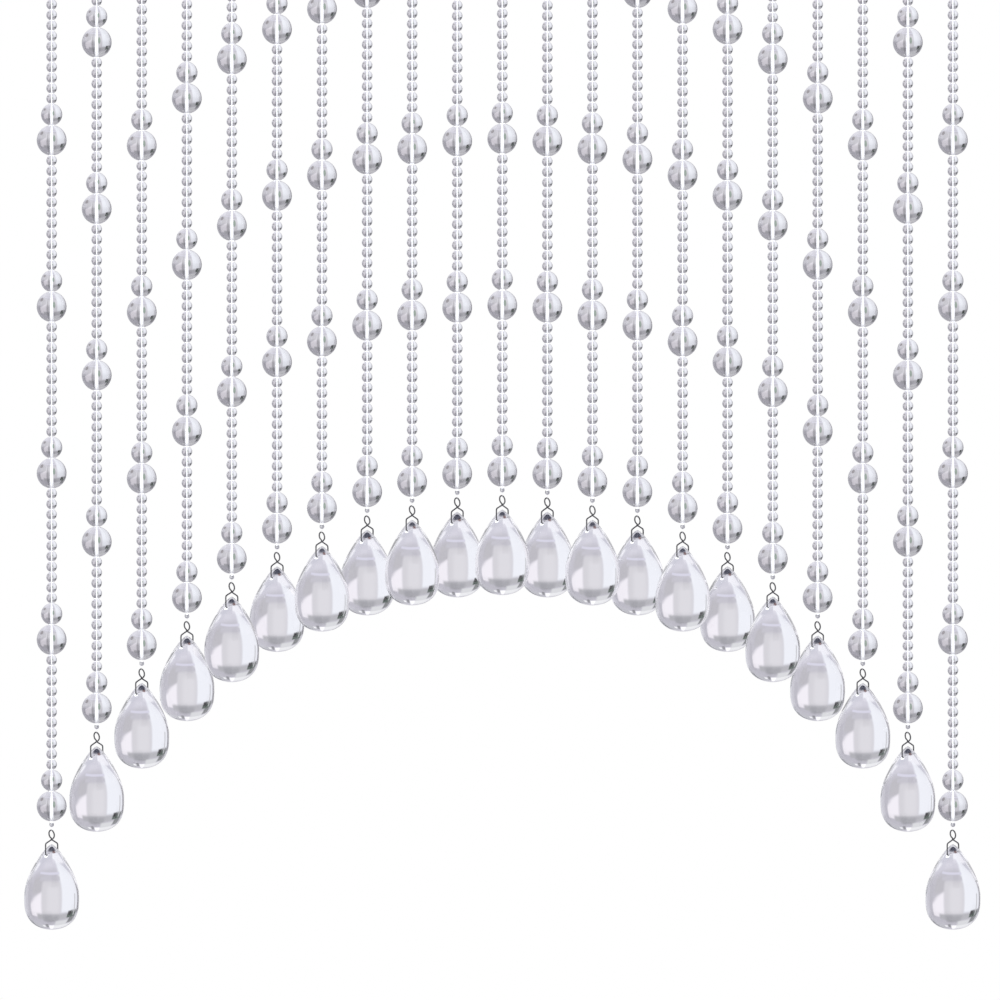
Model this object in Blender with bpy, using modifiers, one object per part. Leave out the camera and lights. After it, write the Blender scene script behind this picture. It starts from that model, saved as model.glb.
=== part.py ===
"""Bead curtain: strings of clear glass beads that hang from a heading tape and end in an arch of glass drops.

Metres, +Z up, X along the heading, the front faces -Y. The origin is the middle of the heading's top edge.
"""

import math
from collections import namedtuple

import bmesh
import bpy

MM = 0.001

# Bead sizes, as diameters
SMALL_BEAD = 4.87 * MM
MEDIUM_BEAD = 10.0 * MM
LARGE_BEAD = 14.0 * MM
CRIMP_BEAD = 2.2 * MM
SMALL_BEADS_IN_A_RUN = 11

# The string: its thread, the waist where one bead meets the next, and the root knot under the heading
THREAD_RADIUS = 0.6 * MM
WAIST_RADIUS = 1.1 * MM
ROOT_KNOT_RADIUS = 1.3 * MM
ROOT_KNOT_HEIGHT = 1.8 * MM

# The glass drop
DROP_WIDTH = 25.6 * MM
DROP_HEIGHT = 38.4 * MM
DROP_BELLY = 0.60
DROP_SHOULDER_POWER = 1.31
DROP_SHOULDER_FULLNESS = 0.42
DROP_FOOT_POWER = 3.0

# Heights above a drop's tip, along its string
CROSSING_HEIGHT = 3.4 * MM
EYE_TOP = 8.2 * MM
CRIMP_HEIGHT = 10.6 * MM
LARGE_BEAD_FOOT = 12.2 * MM

# The wire hook: an eye over a crossing, and two legs that straddle the drop's tip
WIRE_RADIUS = 0.25 * MM
EYE_RADIUS = 2.0 * MM
EYE_OPENING_DEG = 100
EYE_POINTS = 6
CROSSING_CLEARANCE = 0.4 * MM
SHOULDER_HEIGHT = 1.2 * MM
LEG_DEPTH = 2.4 * MM
LEG_SPREAD = 5.1 * MM
HOOK_TURN_DEG = 57

# The heading tape, and the gap between pieces that touch
HEADING_HEIGHT = 20.0 * MM
HEADING_THICKNESS = 2.0 * MM
HEADING_END_MARGIN = 8.0 * MM
HEADING_EDGE_ROUNDING = 0.4 * MM
GAP = 0.3 * MM

# How the strings hang, from the middle one out. The drops are wider than the spacing, so neighbours push each
# other to the front and to the back by their swing.
STRING_SPACING = 21.0 * MM
MIDDLE_TIP_DEPTH = 252.0 * MM
Hang = namedtuple("Hang", "below_middle swing")
HANG_FROM_MIDDLE_OUT = (
    Hang(below_middle=0.0 * MM, swing=7.7 * MM),
    Hang(below_middle=1.1 * MM, swing=7.7 * MM),
    Hang(below_middle=4.8 * MM, swing=7.7 * MM),
    Hang(below_middle=9.5 * MM, swing=7.7 * MM),
    Hang(below_middle=17.0 * MM, swing=7.6 * MM),
    Hang(below_middle=26.5 * MM, swing=7.2 * MM),
    Hang(below_middle=40.5 * MM, swing=6.2 * MM),
    Hang(below_middle=58.7 * MM, swing=4.8 * MM),
    Hang(below_middle=80.7 * MM, swing=1.4 * MM),
    Hang(below_middle=110.2 * MM, swing=0.0 * MM),
    Hang(below_middle=155.8 * MM, swing=0.0 * MM),
)

# How finely round shapes are faceted. A ridge of a run stands for up to two small beads.
RUN_SIDES = 3
BEAD_SIDES = 6
DROP_SIDES = 8
DROP_RINGS = (0.03, 0.13, 0.32, 0.56, 0.80, 0.95)
LARGE_BEAD_RINGS_DEG = (42, 0, -42)
MEDIUM_BEAD_RINGS_DEG = (32, -32)
BEADS_IN_A_RIDGE = 2
SMOOTH_BELOW_DEG = 65

Ring = namedtuple("Ring", "sides radius height")


def clear_scene():
    for thing in list(bpy.data.objects):
        bpy.data.objects.remove(thing, do_unlink=True)


def new_collection(name):
    collection = bpy.data.collections.new(name)
    bpy.context.scene.collection.children.link(collection)
    return collection


def new_material(name, colour, roughness, metallic=0.0, transmission=0.0):
    material = bpy.data.materials.new(name)
    material.use_nodes = True
    shader = material.node_tree.nodes["Principled BSDF"]
    shader.inputs["Base Color"].default_value = (*colour, 1.0)
    shader.inputs["Roughness"].default_value = roughness
    shader.inputs["Metallic"].default_value = metallic
    shader.inputs["Transmission Weight"].default_value = transmission
    return material


def drop_radius(share):
    """Radius of the drop at a share of its height: a pear's shoulder down to the belly, and a full foot below it."""
    half_width = DROP_WIDTH / 2
    if share < DROP_BELLY:
        turn = math.pi / 2 * (share / DROP_BELLY) ** DROP_SHOULDER_POWER
        return half_width * math.sin(turn) ** DROP_SHOULDER_FULLNESS
    down = (share - DROP_BELLY) / (1 - DROP_BELLY)
    return half_width * math.sqrt(max(0.0, 1 - down**DROP_FOOT_POWER))


def drop_mesh():
    """The drop, turned about Z by a Screw from a profile that runs down from the tip to the foot."""
    points = [(0.0, 0.0, 0.0)]
    points += [(drop_radius(share), 0.0, -share * DROP_HEIGHT) for share in DROP_RINGS]
    points += [(0.0, 0.0, -DROP_HEIGHT)]
    mesh = bpy.data.meshes.new("drop")
    mesh.from_pydata(points, [(i, i + 1) for i in range(len(points) - 1)], [])
    return mesh


def bead_rings(top, diameter, latitudes):
    """Rings of one round bead: the waist above it, then circles at the given latitudes of its sphere."""
    radius = diameter / 2
    rings = [Ring(RUN_SIDES, WAIST_RADIUS, top)]
    for latitude in latitudes:
        turn = math.radians(latitude)
        rings.append(Ring(BEAD_SIDES, radius * math.cos(turn), top - radius + radius * math.sin(turn)))
    return rings


def run_rings(top, count):
    """Rings of a run of small beads: for each ridge, the waist above it and its widest circle."""
    ridges = math.ceil(count / BEADS_IN_A_RIDGE)
    pitch = count * SMALL_BEAD / ridges
    widest = SMALL_BEAD / 2 / math.sin(math.pi / RUN_SIDES)
    rings = []
    for i in range(ridges):
        rings.append(Ring(RUN_SIDES, WAIST_RADIUS, top - i * pitch))
        rings.append(Ring(RUN_SIDES, widest, top - (i + 0.5) * pitch))
    return rings


def string_rings(tip_depth):
    """Rings of one string, from the root knot down to the foot that the hook's eye goes round.

    The beads are counted from the drop up: a large bead, a medium one and a run of small ones, over and over, as
    many whole beads as fit under the heading. Small beads fill what is left.
    """
    sections = []
    height = -tip_depth + LARGE_BEAD_FOOT
    pattern = (
        (LARGE_BEAD, 1, LARGE_BEAD_RINGS_DEG),
        (MEDIUM_BEAD, 1, MEDIUM_BEAD_RINGS_DEG),
        (SMALL_BEAD, SMALL_BEADS_IN_A_RUN, None),
    )
    room = -height - ROOT_KNOT_HEIGHT
    while True:
        diameter, wanted, latitudes = pattern[len(sections) % len(pattern)]
        count = min(wanted, int(room / diameter))
        if count < wanted:
            break
        height += count * diameter
        room -= count * diameter
        sections.append(bead_rings(height, diameter, latitudes) if latitudes else run_rings(height, count))
    filling = int(room / SMALL_BEAD)
    if filling:
        sections.append(run_rings(height + filling * SMALL_BEAD, filling))

    rings = [
        Ring(RUN_SIDES, ROOT_KNOT_RADIUS, 0.0),
        Ring(RUN_SIDES, ROOT_KNOT_RADIUS, -ROOT_KNOT_HEIGHT / 2),
        Ring(RUN_SIDES, THREAD_RADIUS, -ROOT_KNOT_HEIGHT * 0.9),
    ]
    for section in reversed(sections):
        rings += section
    crimp = -tip_depth + CRIMP_HEIGHT
    rings += [
        Ring(RUN_SIDES, WAIST_RADIUS, -tip_depth + LARGE_BEAD_FOOT),
        Ring(RUN_SIDES, CRIMP_BEAD / 2, crimp),
        Ring(RUN_SIDES, THREAD_RADIUS, crimp - CRIMP_BEAD / 2),
        Ring(RUN_SIDES, THREAD_RADIUS, -tip_depth + EYE_TOP - 3 * WIRE_RADIUS),
    ]
    return rings


def lofted_mesh(name, rings):
    """A closed skin over rings that run downwards and may differ in their number of sides.

    Between two rings it goes round both at once and steps on the one whose next corner comes first.
    """
    shape = bmesh.new()
    loops = []
    for ring in rings:
        angles = [math.tau * i / ring.sides for i in range(ring.sides)]
        loops.append([
            shape.verts.new((ring.radius * math.cos(a), ring.radius * math.sin(a), ring.height)) for a in angles
        ])
    for upper, lower in zip(loops, loops[1:]):
        i, j = 0, 0
        while i < len(upper) or j < len(lower):
            here, below = upper[i % len(upper)], lower[j % len(lower)]
            if (i + 1) * len(lower) <= (j + 1) * len(upper):
                i += 1
                shape.faces.new((here, below, upper[i % len(upper)]))
            else:
                j += 1
                shape.faces.new((here, below, lower[j % len(lower)]))
    shape.faces.new(loops[0])
    shape.faces.new(loops[-1][::-1])
    mesh = bpy.data.meshes.new(name)
    shape.to_mesh(mesh)
    shape.free()
    mesh.shade_smooth()
    mesh.set_sharp_from_angle(angle=math.radians(SMOOTH_BELOW_DEG))
    return mesh


def hook_path():
    """Centre line of the wire above the drop's tip: up one leg, over, round the eye, back over and down the other."""
    eye_centre = EYE_TOP - WIRE_RADIUS - EYE_RADIUS
    opening_half = math.radians(EYE_OPENING_DEG / 2)
    eye = []
    for i in range(EYE_POINTS):
        angle = -math.pi / 2 + opening_half + (math.tau - 2 * opening_half) * i / (EYE_POINTS - 1)
        eye.append((EYE_RADIUS * math.cos(angle), 0.0, eye_centre + EYE_RADIUS * math.sin(angle)))
    right_leg = [(LEG_SPREAD, 0.0, SHOULDER_HEIGHT), (LEG_SPREAD, 0.0, -LEG_DEPTH)]
    left_leg = [(-x, y, z) for x, y, z in right_leg[::-1]]
    front_pass = (0.0, -CROSSING_CLEARANCE, CROSSING_HEIGHT)
    back_pass = (0.0, CROSSING_CLEARANCE, CROSSING_HEIGHT)
    return left_leg + [front_pass] + eye + [back_pass] + right_leg


def hook_mesh():
    """The wire as one closed mesh, with its square ends welded to its sides."""
    curve = bpy.data.curves.new("hook_wire", "CURVE")
    curve.dimensions = "3D"
    curve.bevel_depth = WIRE_RADIUS
    curve.bevel_resolution = 0
    curve.use_fill_caps = True
    path = hook_path()
    spline = curve.splines.new("POLY")
    spline.points.add(len(path) - 1)
    for point, place in zip(spline.points, path):
        point.co = (*place, 1.0)
    wire = bpy.data.objects.new("hook_wire", curve)
    bpy.context.scene.collection.objects.link(wire)
    bpy.context.view_layer.update()
    mesh = bpy.data.meshes.new_from_object(wire.evaluated_get(bpy.context.evaluated_depsgraph_get()))
    bpy.data.objects.remove(wire, do_unlink=True)
    shape = bmesh.new()
    shape.from_mesh(mesh)
    bmesh.ops.remove_doubles(shape, verts=shape.verts, dist=0.00001)
    shape.to_mesh(mesh)
    shape.free()
    return mesh


def make_heading(collection, material):
    """The tape that the strings are sewn to: a narrow strip with slightly rounded edges."""
    width = STRING_SPACING * 2 * (len(HANG_FROM_MIDDLE_OUT) - 1) + 2 * HEADING_END_MARGIN
    bpy.ops.mesh.primitive_cube_add(size=1.0, location=(0.0, 0.0, -HEADING_HEIGHT / 2))
    heading = bpy.context.object
    heading.name = "heading"
    heading.scale = (width, HEADING_THICKNESS, HEADING_HEIGHT)
    bpy.ops.object.transform_apply(location=False, rotation=False, scale=True)
    bevel = heading.modifiers.new("Rounded edges", "BEVEL")
    bevel.width = HEADING_EDGE_ROUNDING
    bevel.segments = 1
    heading.data.materials.append(material)
    for owner in list(heading.users_collection):
        owner.objects.unlink(heading)
    collection.objects.link(heading)


def make_root(number, place, helpers):
    """The point under the heading that a string hangs from, leant so that the drop's belly reaches its swing."""
    hang = HANG_FROM_MIDDLE_OUT[abs(place)]
    tip_depth = MIDDLE_TIP_DEPTH + hang.below_middle - GAP
    side = -1 if place % 2 == 0 else 1
    root = bpy.data.objects.new(f"root_{number:02d}", None)
    root.location = (place * STRING_SPACING, 0.0, -HEADING_HEIGHT - GAP)
    root.rotation_euler.x = side * math.asin(hang.swing / (tip_depth + DROP_BELLY * DROP_HEIGHT))
    helpers.objects.link(root)
    return root, tip_depth


def make_string(number, root, tip_depth, hook, collections, material):
    """One string of beads with its wire hook fused to its foot."""
    parts, helpers = collections
    wire = bpy.data.objects.new(f"hook_{number:02d}", hook)
    wire.location.z = -tip_depth
    wire.rotation_euler.z = math.radians(HOOK_TURN_DEG)
    wire.parent = root
    wire.hide_render = True
    wire.display_type = "WIRE"
    helpers.objects.link(wire)

    name = f"string_{number:02d}"
    string = bpy.data.objects.new(name, lofted_mesh(name, string_rings(tip_depth)))
    string.parent = root
    string.data.materials.append(material)
    parts.objects.link(string)
    union = string.modifiers.new("Hook", "BOOLEAN")
    union.operation = "UNION"
    union.object = wire


def make_drop(number, root, tip_depth, profile, collection):
    """One glass drop, hanging with its tip between the legs of the hook."""
    drop = bpy.data.objects.new(f"drop_{number:02d}", profile)
    drop.location.z = -tip_depth
    drop.parent = root
    collection.objects.link(drop)
    screw = drop.modifiers.new("Turn", "SCREW")
    screw.angle = math.tau
    screw.steps = DROP_SIDES
    screw.render_steps = DROP_SIDES
    screw.use_merge_vertices = True
    screw.merge_threshold = 0.00001


def main():
    clear_scene()
    parts = new_collection("bead_curtain")
    helpers = new_collection("helpers")
    make_heading(parts, new_material("heading_tape", (0.92, 0.92, 0.91), 0.85))
    bead_glass = new_material("bead_glass", (0.90, 0.91, 0.93), 0.02, transmission=1.0)
    profile = drop_mesh()
    profile.materials.append(new_material("drop_glass", (0.93, 0.93, 0.96), 0.02, transmission=1.0))
    hook = hook_mesh()
    outermost = len(HANG_FROM_MIDDLE_OUT) - 1
    for number, place in enumerate(range(-outermost, outermost + 1), start=1):
        root, tip_depth = make_root(number, place, helpers)
        make_string(number, root, tip_depth, hook, (parts, helpers), bead_glass)
        make_drop(number, root, tip_depth, profile, parts)


main()
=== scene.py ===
# %% [markdown]
# # A bead curtain of clear glass
#
# The curtain is twenty-one strings of glass beads that hang from a white tape. The strings get shorter
# towards the middle, so the pear-shaped drops at their ends draw an arch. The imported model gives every
# piece its place. This notebook gives the pieces their looks: real glass that bends light, drilled beads,
# bent wire and woven tape.

# %% Load the frame
from collections import namedtuple

import bpy
import numpy as np
from mathutils import Matrix, Vector


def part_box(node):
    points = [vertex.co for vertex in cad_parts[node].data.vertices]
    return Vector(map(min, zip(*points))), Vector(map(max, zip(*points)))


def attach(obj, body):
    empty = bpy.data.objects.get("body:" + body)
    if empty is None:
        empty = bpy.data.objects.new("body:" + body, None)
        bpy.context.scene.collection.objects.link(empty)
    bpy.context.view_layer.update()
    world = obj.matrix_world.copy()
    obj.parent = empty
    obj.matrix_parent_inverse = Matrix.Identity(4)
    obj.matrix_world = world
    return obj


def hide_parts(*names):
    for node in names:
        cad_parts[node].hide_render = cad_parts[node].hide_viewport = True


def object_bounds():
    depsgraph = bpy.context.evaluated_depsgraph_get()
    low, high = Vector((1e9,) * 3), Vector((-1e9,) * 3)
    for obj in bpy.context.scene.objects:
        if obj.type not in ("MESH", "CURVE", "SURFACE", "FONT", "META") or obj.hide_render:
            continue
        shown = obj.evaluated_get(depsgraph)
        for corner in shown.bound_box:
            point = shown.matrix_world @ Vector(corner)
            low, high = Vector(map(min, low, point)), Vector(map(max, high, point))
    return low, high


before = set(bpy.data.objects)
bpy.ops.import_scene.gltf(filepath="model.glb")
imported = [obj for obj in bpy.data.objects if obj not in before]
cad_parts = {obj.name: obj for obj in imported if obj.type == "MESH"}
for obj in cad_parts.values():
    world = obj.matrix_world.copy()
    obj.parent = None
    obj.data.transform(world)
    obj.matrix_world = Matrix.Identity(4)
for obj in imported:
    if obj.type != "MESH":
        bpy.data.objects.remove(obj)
cad_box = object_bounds()
MM = 0.001
print("nodes in the frame:", len(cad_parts))

# %% [markdown]
# ## Where each string hangs
#
# A drop in the frame has its tip at its highest point and its foot at its lowest, so those two points say
# where the string is and which way it leans. Each string gets a matrix whose origin is the tip of its
# drop and whose Z runs up the string. Every piece is drawn once around that origin and then carried to
# its string by the matrix, straight into its mesh, so that the finished object stays at the world's
# origin.

# %% One matrix for each string
GAP = 0.3 * MM
HEADING_LOW, HEADING_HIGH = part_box("heading")
String = namedtuple("String", "number matrix length")


def node_points(name):
    """Corners of a node as an array of rows (x, y, z)."""
    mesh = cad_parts[name].data
    points = np.empty(len(mesh.vertices) * 3, np.float32)
    mesh.vertices.foreach_get("co", points)
    return points.reshape(-1, 3)


def string_at(number):
    """The string's matrix, from its drop's tip and foot, and its length from the tip up to the tape."""
    points = node_points(f"drop_{number:02d}")
    tip = Vector(points[points[:, 2].argmax()].tolist())
    foot = Vector(points[points[:, 2].argmin()].tolist())
    up = (tip - foot).normalized()
    across = Vector((1.0, 0.0, 0.0))
    matrix = Matrix((across, up.cross(across), up)).transposed().to_4x4()
    matrix.translation = tip
    return String(number, matrix, (HEADING_LOW.z - GAP - tip.z) / up.z)


drop_nodes = sorted(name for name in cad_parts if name.startswith("drop_"))
strings = [string_at(number) for number in range(1, len(drop_nodes) + 1)]
middle = strings[len(strings) // 2]
shortest, longest = round(middle.length / MM), round(strings[0].length / MM)
print("strings:", len(strings), "lengths in mm:", shortest, "to", longest)

# %% [markdown]
# ## The camera
#
# The photograph looks straight at the curtain, from so far away that nothing shrinks with distance. A
# long lens does that. The view is as wide as the photograph, and its top edge cuts the strings a little
# below the tape.

# %% Camera
VIEW_WIDTH = 466.0 * MM
VIEW_TOP_ABOVE_MIDDLE_TIP = 238.95 * MM
VIEW_LEFT_OF_MIDDLE = 1.06 * MM
SENSOR = 36.0
LENS = 1000.0

camera_data = bpy.data.cameras.new("camera")
camera_data.sensor_width = SENSOR
camera_data.lens = LENS
camera = bpy.data.objects.new("camera", camera_data)
view_middle_z = middle.matrix.translation.z + VIEW_TOP_ABOVE_MIDDLE_TIP - VIEW_WIDTH / 2
camera.location = (-VIEW_LEFT_OF_MIDDLE, -VIEW_WIDTH * LENS / SENSOR, view_middle_z)
camera.rotation_euler = (np.pi / 2, 0.0, 0.0)
bpy.context.scene.collection.objects.link(camera)
bpy.context.scene.camera = camera
print("camera distance in m:", round(-camera.location.y, 3))

# %% [markdown]
# ## Light paths
#
# Light in thick glass bounces many times before it finds its way out. With too few bounces the shoulders
# of the drops would turn black, so the limit is raised.

# %% Light paths
BOUNCES_IN_GLASS = 16
paths = bpy.context.scene.cycles
paths.max_bounces = BOUNCES_IN_GLASS
paths.glossy_bounces = BOUNCES_IN_GLASS
paths.transmission_bounces = BOUNCES_IN_GLASS
print("bounces:", paths.max_bounces)

# %% [markdown]
# ## Surfaces from arrays
#
# Every new surface is a grid of points that a formula works out all at once. A Skin keeps the points with
# the corners of their faces, so that many skins can be joined or repeated with plain array sums before
# Blender sees them.

# %% Skins
Skin = namedtuple("Skin", "points corners sizes marks uvs")


def grid_skin(points, wrap_rows, wrap_columns, row_marks=0, top=None, bottom=None, row_v=None):
    """Faces over a grid of points, rows by columns. A wrapped side joins its last line to its first.

    top and bottom are points that close the first and the last row with a fan of triangles. A row's mark
    becomes the material index of the faces below it. UVs run from 0 to 1 along columns (u) and rows (v),
    or v is given by row.
    """
    rows, columns = points.shape[:2]
    face_rows = rows if wrap_rows else rows - 1
    face_columns = columns if wrap_columns else columns - 1
    i, j = np.meshgrid(np.arange(face_rows), np.arange(face_columns), indexing="ij")
    below, beside = (i + 1) % rows, (j + 1) % columns
    here, under = i * columns, below * columns
    quads = np.stack([here + j, under + j, under + beside, here + beside], -1)
    u0, u1 = j / columns, (j + 1) / columns
    row_v = np.arange(rows + 1) / rows if row_v is None else np.append(row_v, 1.0)
    v0, v1 = row_v[i], row_v[i + 1]
    uvs = np.stack([np.stack(pair, -1) for pair in ((u0, v0), (u0, v1), (u1, v1), (u1, v0))], -2)
    marks = np.broadcast_to(np.reshape(row_marks, (-1, 1)), i.shape)
    flat = points.reshape(-1, 3)
    corners, sizes = [quads.reshape(-1)], [np.full(i.size, 4)]
    all_marks, all_uvs = [marks.reshape(-1)], [uvs.reshape(-1, 2)]
    around = np.arange(columns)
    for pole, ring, turn in ((top, around, 1), (bottom, (rows - 1) * columns + around, -1)):
        if pole is None:
            continue
        fan = np.stack([np.full(columns, len(flat)), ring, np.roll(ring, -1)], -1)
        fan = fan if turn > 0 else fan[:, [0, 2, 1]]
        flat = np.vstack([flat, np.asarray(pole)[None]])
        corners.append(fan.reshape(-1))
        sizes.append(np.full(columns, 3))
        all_marks.append(np.full(columns, np.ravel(row_marks)[0 if turn > 0 else -1]))
        all_uvs.append(np.zeros((columns * 3, 2)))
    return Skin(flat, *(np.concatenate(part) for part in (corners, sizes, all_marks, all_uvs)))


def repeated(skin, places):
    """The same skin at each of many places, given as rows (x, y, z)."""
    count, size = len(places), len(skin.points)
    points = (skin.points[None] + np.asarray(places)[:, None]).reshape(-1, 3)
    corners = (skin.corners[None] + size * np.arange(count)[:, None]).reshape(-1)
    sizes, marks = np.tile(skin.sizes, count), np.tile(skin.marks, count)
    return Skin(points, corners, sizes, marks, np.tile(skin.uvs, (count, 1)))


def joined(*skins):
    """Several skins as one."""
    starts = np.cumsum([0] + [len(skin.points) for skin in skins[:-1]])
    return Skin(
        np.vstack([skin.points for skin in skins]),
        np.concatenate([skin.corners + start for skin, start in zip(skins, starts)]),
        *(np.concatenate([getattr(skin, field) for skin in skins]) for field in ("sizes", "marks", "uvs")),
    )


# %% Shapes turned about an axis, and tubes along a path
def turned(profile, sides, marks=0, closed=False, row_v=None):
    """A profile of (radius, height) rows, turned about Z: x = r cos t, y = r sin t.

    It runs down its outer side. A closed profile makes a ring with a hole through it. An open one starts
    and ends on the axis.
    """
    profile = np.asarray(profile, float)
    angle = np.linspace(0, 2 * np.pi, sides, endpoint=False)
    rows = profile if closed else profile[1:-1]
    radius, height = rows[:, :1], rows[:, 1:]
    points = np.stack([radius * np.cos(angle), radius * np.sin(angle), height + 0 * angle], -1)
    if closed:
        return grid_skin(points, True, True, marks, row_v=row_v)
    ends = [(0.0, 0.0, profile[0, 1]), (0.0, 0.0, profile[-1, 1])]
    return grid_skin(points, False, True, marks, *ends)


def smooth_path(knots, steps):
    """A Catmull-Rom curve through the knots, with a cubic for each span.

    Its slope at a knot is half the step between the knot's two neighbours.
    """
    knots = np.asarray(knots, float)
    p = np.vstack([2 * knots[0] - knots[1], knots, 2 * knots[-1] - knots[-2]])
    t = np.linspace(0, 1, steps, endpoint=False)[None, :, None]
    a, b, c, d = (p[k : len(p) - 3 + k, None] for k in range(4))
    curve = 0.5 * (2 * b + (c - a) * t + (2 * a - 5 * b + 4 * c - d) * t**2 + (3 * b - a - 3 * c + d) * t**3)
    return np.vstack([curve.reshape(-1, 3), knots[-1:]])


def tube(path, radius, sides, reference=(0.0, 1.0, 0.0)):
    """A round wire along a path: each ring is the path's point plus r (N cos t + B sin t).

    N is the reference direction made square to the path, and B is square to both. The ends close on the path.
    """
    along = np.gradient(path, axis=0)
    along /= np.linalg.norm(along, axis=1, keepdims=True)
    n = np.asarray(reference, float) - (along @ np.asarray(reference, float))[:, None] * along
    n /= np.linalg.norm(n, axis=1, keepdims=True)
    b = np.cross(n, along)
    angle = np.linspace(0, 2 * np.pi, sides, endpoint=False)[None, :, None]
    radius = np.broadcast_to(np.asarray(radius, float), (len(path),))[:, None, None]
    points = path[:, None] + radius * (n[:, None] * np.cos(angle) + b[:, None] * np.sin(angle))
    return grid_skin(points, False, True, 0, path[0], path[-1])


# %% From a skin to an object
def new_mesh(name, skin, materials, sharp_above=None):
    """A mesh with a UV map and smooth faces.

    Where asked, edges are sharp between faces that meet at more than so many degrees.
    """
    mesh = bpy.data.meshes.new(name)
    mesh.vertices.add(len(skin.points))
    mesh.vertices.foreach_set("co", skin.points.astype(np.float32).ravel())
    mesh.loops.add(len(skin.corners))
    mesh.loops.foreach_set("vertex_index", skin.corners.astype(np.int32))
    mesh.polygons.add(len(skin.sizes))
    starts = np.concatenate([[0], np.cumsum(skin.sizes)[:-1]])
    mesh.polygons.foreach_set("loop_start", starts.astype(np.int32))
    mesh.polygons.foreach_set("material_index", skin.marks.astype(np.int32))
    mesh.update(calc_edges=True)
    mesh.uv_layers.new(name="surface").data.foreach_set("uv", skin.uvs.astype(np.float32).ravel())
    for material in materials:
        mesh.materials.append(material)
    mesh.shade_smooth()
    if sharp_above is not None:
        mesh.set_sharp_from_angle(angle=np.radians(sharp_above))
    mesh.validate()
    return mesh


def new_piece(name, mesh, replaced):
    """An object for a finished mesh. It rides on the only body, and stands for the nodes that it replaces."""
    piece = bpy.data.objects.new(name, mesh)
    bpy.context.scene.collection.objects.link(piece)
    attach(piece, "root")
    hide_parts(*replaced)
    return piece


# %% [markdown]
# ## Finishes
#
# Clear glass is a Principled shader with full transmission. Pressed glass is never quite flat, so a faint
# noise bends its surface, and a second, finer one dulls it here and there as handling does. The drill
# leaves the inside of a bead's hole ground and white, and a painted glow on that wall makes the bright
# line down the middle of every bead. The glass of beads and drops has a painted glow as well, and the
# beads carry painted shade in their colour.

# %% A small helper for shader nodes
def material_with(name, **sockets):
    """A new material and its node tree, with constants set on the Principled shader's own sockets."""
    material = bpy.data.materials.new(name)
    material.use_nodes = True
    tree = material.node_tree
    shader = tree.nodes["Principled BSDF"]
    for socket, value in sockets.items():
        shader.inputs[socket.replace("_", " ")].default_value = value
    return material, tree, shader


def add_node(tree, kind, inputs=(), **settings):
    """A node with its settings, and inputs given as (socket, value or other node's output)."""
    node = tree.nodes.new(kind)
    for setting, value in settings.items():
        setattr(node, setting, value)
    for socket, value in inputs:
        if isinstance(value, bpy.types.NodeSocket):
            tree.links.new(value, node.inputs[socket])
        else:
            node.inputs[socket].default_value = value
    return node


def ramp(tree, value, low, high, at_low=0.0, at_high=1.0):
    """A straight ramp from at_low, where the value is low, to at_high, where it is high."""
    ends = [("From Min", low), ("From Max", high), ("To Min", at_low), ("To Max", at_high)]
    return add_node(tree, "ShaderNodeMapRange", [("Value", value), *ends]).outputs["Result"]


# %% Glass
GLASS_INDEX = 1.5


def wavy_glass(name, colour, wave_scale, wave_height, haze, glow):
    """Clear pressed glass: a slow wave in its surface, and a fine noise that moves its roughness up to haze.

    The faint glow is painted light: it stands for light that a thick piece gathers and gives off again
    all over its skin.
    """
    material, tree, shader = material_with(
        name, Base_Color=(*colour, 1.0), Transmission_Weight=1.0, IOR=GLASS_INDEX, Roughness=0.0,
        Emission_Strength=glow,
    )
    shader.inputs["Emission Color"].default_value = (0.97, 0.97, 1.0, 1.0)
    place = add_node(tree, "ShaderNodeTexCoord").outputs["Object"]
    wave = add_node(tree, "ShaderNodeTexNoise", [("Vector", place), ("Scale", wave_scale), ("Detail", 1.0)])
    bump = add_node(tree, "ShaderNodeBump", [("Height", wave.outputs["Fac"]), ("Distance", wave_height)])
    tree.links.new(bump.outputs["Normal"], shader.inputs["Normal"])
    finer = [("Vector", place), ("Scale", 4 * wave_scale), ("Detail", 3.0)]
    smear = add_node(tree, "ShaderNodeTexNoise", finer)
    tree.links.new(ramp(tree, smear.outputs["Fac"], 0.5, 0.8, 0.0, haze), shader.inputs["Roughness"])
    return material, tree, shader


BEAD_TINT = (0.925, 0.925, 0.935)
# Grey streaks: partly striae in the glass, partly painted shade, which is strongest on the front left side.
STREAK_AND_SHADE_TINT = (0.55, 0.54, 0.56)
# Painted shade at the rims, where the glass is seen edge on.
PAINTED_EDGE_SHADE = (0.22, 0.21, 0.23)
# Painted shade on the bead's foot.
PAINTED_FOOT_SHADE = (0.54, 0.53, 0.55)
# Painted glow: a little over the whole bead, more on its top, most on the front left side.
GLOW_OF_BEAD = 0.02
PAINTED_LIGHT_ON_TOP_FRONT_LEFT = 0.16
PAINTED_LIGHT_ON_TOP_ELSEWHERE = 0.04
STREAKS_AND_SHADE_ON_FRONT_LEFT = 0.70
STREAKS_ON_OTHER_SIDES = 0.30
# Where each change starts and where it is complete: u goes round the bead, v from its top hole down.
FRONT_LEFT_SIDE_BEGINS_U = (0.42, 0.48)
FRONT_LEFT_SIDE_ENDS_U = (0.745, 0.72)
STREAK_NOISE = (0.42, 0.60)
SLOW_PAINTED_FOOT_SHADE_V = (0.37, 0.66)
SUDDEN_PAINTED_FOOT_SHADE_V = (0.385, 0.465)
PAINTED_LIGHT_ON_TOP_V = (0.43, 0.37)
PAINTED_EDGE_SHADE_V = (0.16, 0.36)
PAINTED_EDGE_SHADE_FACING = (0.22, 0.62)

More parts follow.
